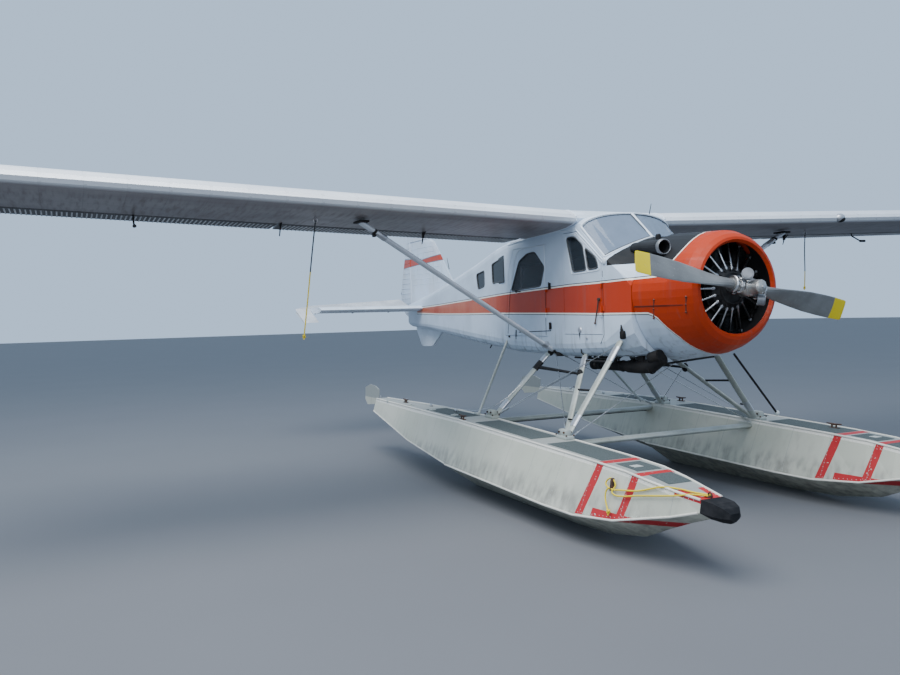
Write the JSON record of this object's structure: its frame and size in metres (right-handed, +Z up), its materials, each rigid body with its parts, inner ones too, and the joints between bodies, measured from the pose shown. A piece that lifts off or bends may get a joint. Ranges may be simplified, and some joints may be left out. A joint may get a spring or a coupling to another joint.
{
  "type": "floatplane",
  "caption": "High-wing floatplane with a round air-cooled engine, strut-braced straight wings and a hollow cabin, standing on twin stepped floats with water rudders.",
  "frame": {"origin": "centre of the bounding box's base, on the ground the keels stand on", "axes": "+X forward to the nose, +Y to port (left), +Z up"},
  "size_m": [10.33, 14.6258, 3.65],
  "materials": {
    "white": "gloss",
    "orange": "gloss",
    "black": "matte",
    "bare_metal": "satin",
    "corrugated": "satin",
    "engine": "satin",
    "blade": "satin",
    "float": "satin",
    "rubber": "matte",
    "glass": "clear",
    "upholstery": "matte",
    "rope": "matte"
  },
  "bodies": {
    "airframe": {"cabin_shell": "white", "rear_fuselage": "white", "fin": "white", "ventral_fin": "white", "wing_centre_section": "white", "tailplane_port": "white", "tailplane_starboard": "white", "front_struts_port": "white", "front_struts_starboard": "white", "rear_strut_port": "white", "rear_strut_starboard": "white", "access_strut_port": "white", "access_strut_starboard": "white", "cowl_ring": "orange", "nose_deck": "black", "air_scoop": "black", "exhaust_pipe": "black", "instrument_panel": "black", "wing_port": "bare_metal", "wing_starboard": "bare_metal", "wing_strut_port": "bare_metal", "wing_strut_starboard": "bare_metal", "front_spreader": "bare_metal", "rear_spreader": "bare_metal", "engine": "engine", "float_port": "float", "float_starboard": "float", "bow_bumper_port": "rubber", "bow_bumper_starboard": "rubber", "rear_window_port": "glass", "rear_window_starboard": "glass", "windscreen_port": "glass", "windscreen_starboard": "glass", "pilot_seat": "upholstery", "copilot_seat": "upholstery", "cabin_bench": "upholstery", "wing_rope_port": "rope", "wing_rope_starboard": "rope"},
    "propeller": {"propeller_hub": "bare_metal", "propeller_blade_1": "blade", "propeller_blade_2": "blade"},
    "rudder": {"rudder": "corrugated"},
    "elevator": {"elevator": "corrugated"},
    "flap_port": {"flap_port": "corrugated"},
    "aileron_port": {"aileron_port": "corrugated"},
    "cockpit_door_port": {"cockpit_door_port": "white", "cockpit_window_port": "glass"},
    "cabin_door_port": {"cabin_door_port": "white", "cabin_window_port": "glass"},
    "water_rudder_post_port": {"water_rudder_post_port": "bare_metal"},
    "water_rudder_blade_port": {"water_rudder_blade_port": "float"},
    "flap_starboard": {"flap_starboard": "corrugated"},
    "aileron_starboard": {"aileron_starboard": "corrugated"},
    "cockpit_door_starboard": {"cockpit_door_starboard": "white", "cockpit_window_starboard": "glass"},
    "cabin_door_starboard": {"cabin_door_starboard": "white", "cabin_window_starboard": "glass"},
    "water_rudder_post_starboard": {"water_rudder_post_starboard": "bare_metal"},
    "water_rudder_blade_starboard": {"water_rudder_blade_starboard": "float"}
  },
  "joints": [
    {"name": "propeller_spin", "type": "hinge", "parent": "airframe", "child": "propeller", "pos_m": [3.815, 0, 2.25], "axis": [1, 0, 0], "continuous": true},
    {"name": "rudder_turn", "type": "hinge", "parent": "airframe", "child": "rudder", "pos_m": [-4.625, 0, 2.25], "axis": [0, 0, 1], "range_deg": [-25, 25]},
    {"name": "elevator_turn", "type": "hinge", "parent": "airframe", "child": "elevator", "pos_m": [-4.338, 0, 2.21], "axis": [0, 1, 0], "range_deg": [-40, 8]},
    {"name": "flap_port_drop", "type": "hinge", "parent": "airframe", "child": "flap_port", "pos_m": [0.6775, 2.221, 3.12], "axis": [0, 0.9993, 0.0384], "range_deg": [-58, 0]},
    {"name": "aileron_port_turn", "type": "hinge", "parent": "airframe", "child": "aileron_port", "pos_m": [0.6775, 5.3567, 3.2404], "axis": [0, 0.9993, 0.0384], "range_deg": [-20, 20]},
    {"name": "cockpit_door_port_swing", "type": "hinge", "parent": "airframe", "child": "cockpit_door_port", "pos_m": [2.332, 0.6375, 2.25], "axis": [0, 0, 1], "range_deg": [-80, 0]},
    {"name": "cabin_door_port_swing", "type": "hinge", "parent": "airframe", "child": "cabin_door_port", "pos_m": [1.182, 0.6375, 2.25], "axis": [0, 0, 1], "range_deg": [-80, 0]},
    {"name": "water_rudder_port_steer", "type": "hinge", "parent": "airframe", "child": "water_rudder_post_port", "pos_m": [-2.445, 1.48, 0.69], "axis": [0, 0, 1], "range_deg": [-30, 30]},
    {"name": "water_rudder_port_lower", "type": "hinge", "parent": "water_rudder_post_port", "child": "water_rudder_blade_port", "pos_m": [-2.495, 1.48, 0.72], "axis": [0, 1, 0], "range_deg": [-65, 0]},
    {"name": "flap_starboard_drop", "type": "hinge", "parent": "airframe", "child": "flap_starboard", "pos_m": [0.6775, -2.221, 3.12], "axis": [0, 0.9993, -0.0384], "range_deg": [-58, 0]},
    {"name": "aileron_starboard_turn", "type": "hinge", "parent": "airframe", "child": "aileron_starboard", "pos_m": [0.6775, -5.3567, 3.2404], "axis": [0, 0.9993, -0.0384], "range_deg": [-20, 20]},
    {"name": "cockpit_door_starboard_swing", "type": "hinge", "parent": "airframe", "child": "cockpit_door_starboard", "pos_m": [2.332, -0.6375, 2.25], "axis": [0, 0, 1], "range_deg": [0, 80]},
    {"name": "cabin_door_starboard_swing", "type": "hinge", "parent": "airframe", "child": "cabin_door_starboard", "pos_m": [1.182, -0.6375, 2.25], "axis": [0, 0, 1], "range_deg": [0, 80]},
    {"name": "water_rudder_starboard_steer", "type": "hinge", "parent": "airframe", "child": "water_rudder_post_starboard", "pos_m": [-2.445, -1.48, 0.69], "axis": [0, 0, 1], "range_deg": [-30, 30]},
    {"name": "water_rudder_starboard_lower", "type": "hinge", "parent": "water_rudder_post_starboard", "child": "water_rudder_blade_starboard", "pos_m": [-2.495, -1.48, 0.72], "axis": [0, 1, 0], "range_deg": [-65, 0]}
  ],
  "couplings": [
    {"joint": "flap_starboard_drop", "follows": "flap_port_drop", "ratio": 1},
    {"joint": "aileron_starboard_turn", "follows": "aileron_port_turn", "ratio": -1},
    {"joint": "water_rudder_starboard_steer", "follows": "water_rudder_port_steer", "ratio": 1},
    {"joint": "water_rudder_starboard_lower", "follows": "water_rudder_port_lower", "ratio": 1}
  ]
}
